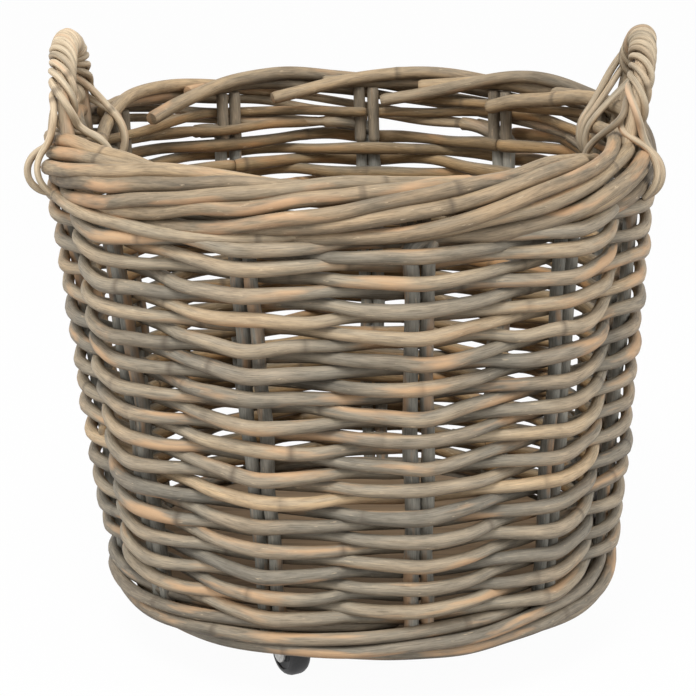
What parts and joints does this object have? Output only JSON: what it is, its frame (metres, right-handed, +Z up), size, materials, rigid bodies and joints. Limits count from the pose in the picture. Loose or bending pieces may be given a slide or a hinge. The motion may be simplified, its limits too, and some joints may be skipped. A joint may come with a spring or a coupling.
{
  "type": "rolling storage basket",
  "caption": "Round tapered rattan basket with a rolled border, roped loop handles and a base board on swivel castors, for rolling logs, toys or laundry about.",
  "frame": {"origin": "on the floor under the middle of the rolled border", "axes": "+Z up, the front of the basket faces -Y and a handle stands at each end of X"},
  "size_m": [0.4987, 0.4983, 0.5045],
  "materials": {
    "rattan": "matt weathered grey-brown",
    "stake_rattan": "matt weathered grey",
    "cane": "satin pale tan",
    "plywood": "matt",
    "zinc_steel": "zinc plated",
    "black_tyre": "satin black"
  },
  "bodies": {
    "basket": {"stake_01a": "stake_rattan", "stake_01b": "stake_rattan", "stake_02a": "stake_rattan", "stake_02b": "stake_rattan", "stake_03a": "stake_rattan", "stake_03b": "stake_rattan", "stake_04a": "stake_rattan", "stake_04b": "stake_rattan", "stake_05a": "stake_rattan", "stake_05b": "stake_rattan", "stake_06a": "stake_rattan", "stake_06b": "stake_rattan", "stake_07a": "stake_rattan", "stake_07b": "stake_rattan", "stake_08a": "stake_rattan", "stake_08b": "stake_rattan", "stake_09a": "stake_rattan", "stake_09b": "stake_rattan", "stake_10a": "stake_rattan", "stake_10b": "stake_rattan", "stake_11a": "stake_rattan", "stake_11b": "stake_rattan", "weaver_01": "rattan", "weaver_02": "rattan", "weaver_03": "rattan", "weaver_04": "rattan", "weaver_05": "rattan", "weaver_06": "rattan", "weaver_07": "rattan", "weaver_08": "rattan", "foot_hoop": "rattan", "foot_coil": "rattan", "base_board": "plywood", "handle_core_right": "cane", "handle_strand_right_1": "cane", "handle_strand_right_2": "cane", "handle_strand_right_3": "cane", "handle_core_left": "cane", "handle_strand_left_1": "cane", "handle_strand_left_2": "cane", "handle_strand_left_3": "cane", "castor_1_plate": "zinc_steel", "castor_2_plate": "zinc_steel", "castor_3_plate": "zinc_steel", "castor_4_plate": "zinc_steel"},
    "castor_1_swivel": {"castor_1_fork": "zinc_steel", "castor_1_axle": "zinc_steel"},
    "castor_1_roller": {"castor_1_wheel": "black_tyre"},
    "castor_2_swivel": {"castor_2_fork": "zinc_steel", "castor_2_axle": "zinc_steel"},
    "castor_2_roller": {"castor_2_wheel": "black_tyre"},
    "castor_3_swivel": {"castor_3_fork": "zinc_steel", "castor_3_axle": "zinc_steel"},
    "castor_3_roller": {"castor_3_wheel": "black_tyre"},
    "castor_4_swivel": {"castor_4_fork": "zinc_steel", "castor_4_axle": "zinc_steel"},
    "castor_4_roller": {"castor_4_wheel": "black_tyre"}
  },
  "joints": [
    {"name": "castor_1_turn", "type": "hinge", "parent": "basket", "child": "castor_1_swivel", "pos_m": [-0.05584, -0.1207, 0.049], "axis": [0, 0, 1], "continuous": true},
    {"name": "castor_1_roll", "type": "hinge", "parent": "castor_1_swivel", "child": "castor_1_roller", "pos_m": [-0.04684, -0.13629, 0.02], "axis": [0.866, 0.5, 0], "continuous": true},
    {"name": "castor_2_turn", "type": "hinge", "parent": "basket", "child": "castor_2_swivel", "pos_m": [0.13176, -0.0669, 0.049], "axis": [0, 0, 1], "continuous": true},
    {"name": "castor_2_roll", "type": "hinge", "parent": "castor_2_swivel", "child": "castor_2_roller", "pos_m": [0.14076, -0.05132, 0.02], "axis": [-0.866, 0.5, 0], "continuous": true},
    {"name": "castor_3_turn", "type": "hinge", "parent": "basket", "child": "castor_3_swivel", "pos_m": [0.07797, 0.1207, 0.049], "axis": [0, 0, 1], "continuous": true},
    {"name": "castor_3_roll", "type": "hinge", "parent": "castor_3_swivel", "child": "castor_3_roller", "pos_m": [0.06764, 0.13544, 0.02], "axis": [-0.8192, -0.5736, 0], "continuous": true},
    {"name": "castor_4_turn", "type": "hinge", "parent": "basket", "child": "castor_4_swivel", "pos_m": [-0.10963, 0.0669, 0.049], "axis": [0, 0, 1], "continuous": true},
    {"name": "castor_4_roll", "type": "hinge", "parent": "castor_4_swivel", "child": "castor_4_roller", "pos_m": [-0.12736, 0.06378, 0.02], "axis": [0.1736, -0.9848, 0], "continuous": true}
  ]
}
